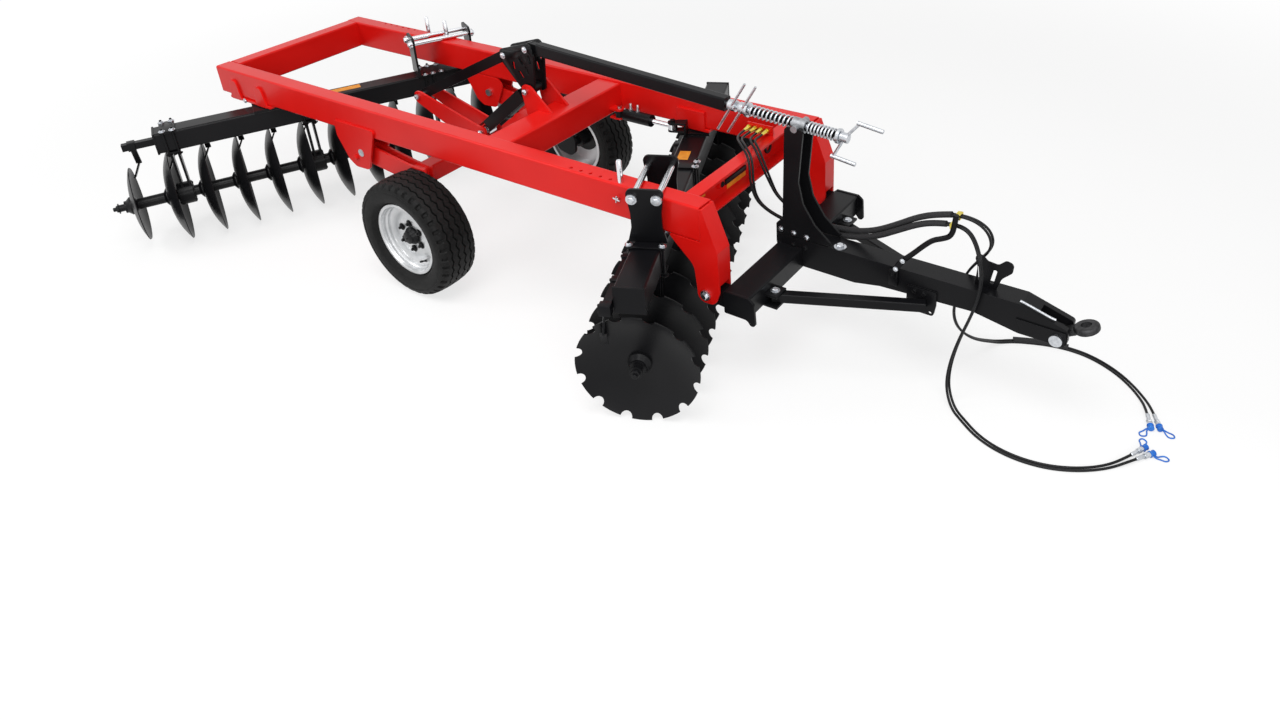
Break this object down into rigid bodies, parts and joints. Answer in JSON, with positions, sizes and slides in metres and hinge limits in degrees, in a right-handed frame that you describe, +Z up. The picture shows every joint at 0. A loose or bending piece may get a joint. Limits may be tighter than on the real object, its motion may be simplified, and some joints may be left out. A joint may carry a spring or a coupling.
{
  "type": "trailed offset disc harrow",
  "caption": "Trailed offset disc harrow: frame on a lifting axle, two turning disc gangs, levelling bar, sprung screw and a drawbar with a towing eye.",
  "frame": {"origin": "middle of the towing eye's bore, with the drawbar at rest", "axes": "+X forward in the direction of travel, +Y to the left, +Z up"},
  "size_m": [6.3388, 2.7504, 1.4273],
  "materials": {
    "red_paint": "gloss red enamel",
    "black_paint": "satin black enamel",
    "disc_steel": "satin black over steel",
    "hub_black": "black painted casting",
    "cast_grey": "dark forged steel",
    "zinc": "bright zinc",
    "chrome": "hard chrome",
    "tyre_rubber": "matt black rubber",
    "hose_rubber": "black rubber hose",
    "cap_blue": "blue plastic",
    "yellow_zinc": "yellow passivated zinc",
    "rim_silver": "silver enamel"
  },
  "bodies": {
    "frame": {"long_tubes": "red_paint", "cross_members": "red_paint", "drawbar_ears": "red_paint", "lift_tower": "red_paint", "axle_brackets": "red_paint", "frame_pins": "zinc", "gang_pivot_brackets": "red_paint", "angle_cylinder_lug": "red_paint", "hose_fittings": "yellow_zinc"},
    "axle": {"axle_frame": "red_paint", "lever_pins": "zinc", "hub_carriers": "black_paint"},
    "near_wheel": {"tyre_near": "tyre_rubber", "rim_near": "rim_silver", "hub_near": "hub_black"},
    "far_wheel": {"tyre_far": "tyre_rubber", "rim_far": "rim_silver", "hub_far": "hub_black"},
    "front_gang": {"front_gang_beam": "black_paint", "front_bearing_standards": "black_paint", "front_scrapers": "black_paint", "front_carriage": "black_paint", "front_carriage_rollers": "chrome"},
    "front_rotor": {"front_discs": "disc_steel", "front_shaft": "disc_steel"},
    "rear_gang": {"rear_gang_beam": "black_paint", "rear_bearing_standards": "black_paint", "rear_scrapers": "black_paint", "rear_carriage": "black_paint", "rear_carriage_rollers": "chrome"},
    "rear_rotor": {"rear_discs": "disc_steel", "rear_shaft": "disc_steel"},
    "drawbar": {"drawbar_cross_tube": "black_paint", "drawbar_tube": "black_paint", "mast": "black_paint", "trunnion": "zinc", "drawbar_braces": "black_paint", "towing_eye": "cast_grey", "hitch_pin": "zinc", "hose_lower_right": "hose_rubber", "hose_lower_left": "hose_rubber", "hose_upper_right": "hose_rubber", "hose_upper_left": "hose_rubber", "hose_couplers": "zinc", "hose_caps": "cap_blue", "hose_clamps": "yellow_zinc", "hose_arm": "black_paint", "hose_fork": "black_paint"},
    "rocker": {"rocker": "black_paint"},
    "link_bar": {"link_bar": "black_paint"},
    "levelling_bar": {"levelling_tube": "black_paint", "levelling_screw": "zinc", "levelling_springs": "zinc"},
    "lift_barrel": {"lift_cylinder": "black_paint"},
    "lift_plunger": {"lift_rod": "chrome"},
    "angle_barrel": {"angle_cylinder": "black_paint"},
    "angle_plunger": {"angle_rod": "chrome"}
  },
  "joints": [
    {"name": "axle_lift", "type": "hinge", "parent": "frame", "child": "axle", "pos_m": [-4.265, 0, 0.136], "axis": [0, 1, 0], "range_deg": [-3, 15]},
    {"name": "near_wheel_spin", "type": "hinge", "parent": "axle", "child": "near_wheel", "pos_m": [-3.667, -0.755, -0.194], "axis": [0, 1, 0], "continuous": true},
    {"name": "far_wheel_spin", "type": "hinge", "parent": "axle", "child": "far_wheel", "pos_m": [-3.667, 0.755, -0.194], "axis": [0, 1, 0], "continuous": true},
    {"name": "front_gang_turn", "type": "hinge", "parent": "frame", "child": "front_gang", "pos_m": [-2.49516, 0.546, 0.219], "axis": [0, 0, 1], "range_deg": [-16, 0]},
    {"name": "rear_gang_turn", "type": "hinge", "parent": "frame", "child": "rear_gang", "pos_m": [-5.30394, -0.546, 0.219], "axis": [0, 0, 1], "range_deg": [0, 16]},
    {"name": "front_discs_spin", "type": "hinge", "parent": "front_gang", "child": "front_rotor", "pos_m": [-1.816, -0.973, -0.259], "axis": [-0.4082, 0.9129, 0], "continuous": true},
    {"name": "rear_discs_spin", "type": "hinge", "parent": "rear_gang", "child": "rear_rotor", "pos_m": [-5.746, -1.408, -0.259], "axis": [0.4563, 0.8898, 0], "continuous": true},
    {"name": "drawbar_swing", "type": "hinge", "parent": "frame", "child": "drawbar", "pos_m": [-1.667, 0, -0.039], "axis": [0, 1, 0], "range_deg": [-0.79, 3.65]},
    {"name": "rocker_turn", "type": "hinge", "parent": "frame", "child": "rocker", "pos_m": [-3.287, 0, 0.542], "axis": [0, 1, 0], "range_deg": [-2.25, 10.42]},
    {"name": "link_bar_turn", "type": "hinge", "parent": "rocker", "child": "link_bar", "pos_m": [-3.46, 0, 0.732], "axis": [0, 1, 0], "range_deg": [-11.6, 2.5]},
    {"name": "levelling_bar_turn", "type": "hinge", "parent": "rocker", "child": "levelling_bar", "pos_m": [-3.271, 0, 0.799], "axis": [0, 1, 0], "range_deg": [-10.18, 2.2]},
    {"name": "lift_barrel_turn", "type": "hinge", "parent": "frame", "child": "lift_barrel", "pos_m": [-3.287, 0, 0.542], "axis": [0, 1, 0], "range_deg": [-8.58, 1.85]},
    {"name": "lift_stroke", "type": "slide", "parent": "lift_barrel", "child": "lift_plunger", "axis": [-0.7792, 0, -0.6267], "range_m": [-0.01906, 0.0953]},
    {"name": "angle_barrel_turn", "type": "hinge", "parent": "frame", "child": "angle_barrel", "pos_m": [-2.981, 0.395, 0.277], "axis": [0, 0, 1], "range_deg": [-0.08, 3.93]},
    {"name": "angle_stroke", "type": "slide", "parent": "angle_barrel", "child": "angle_plunger", "axis": [1, 0, 0], "range_m": [-0.03964, 0.001]}
  ],
  "couplings": [
    {"joint": "drawbar_swing", "follows": "axle_lift", "ratio": 0.23861},
    {"joint": "rocker_turn", "follows": "axle_lift", "ratio": 0.68107},
    {"joint": "link_bar_turn", "follows": "axle_lift", "ratio": -0.75797},
    {"joint": "levelling_bar_turn", "follows": "axle_lift", "ratio": -0.66541},
    {"joint": "lift_barrel_turn", "follows": "axle_lift", "ratio": -0.56083},
    {"joint": "lift_stroke", "follows": "axle_lift", "m_per_rad": 0.35688},
    {"joint": "angle_barrel_turn", "follows": "front_gang_turn", "ratio": -0.2409},
    {"joint": "angle_stroke", "follows": "front_gang_turn", "m_per_rad": 0.13917}
  ]
}
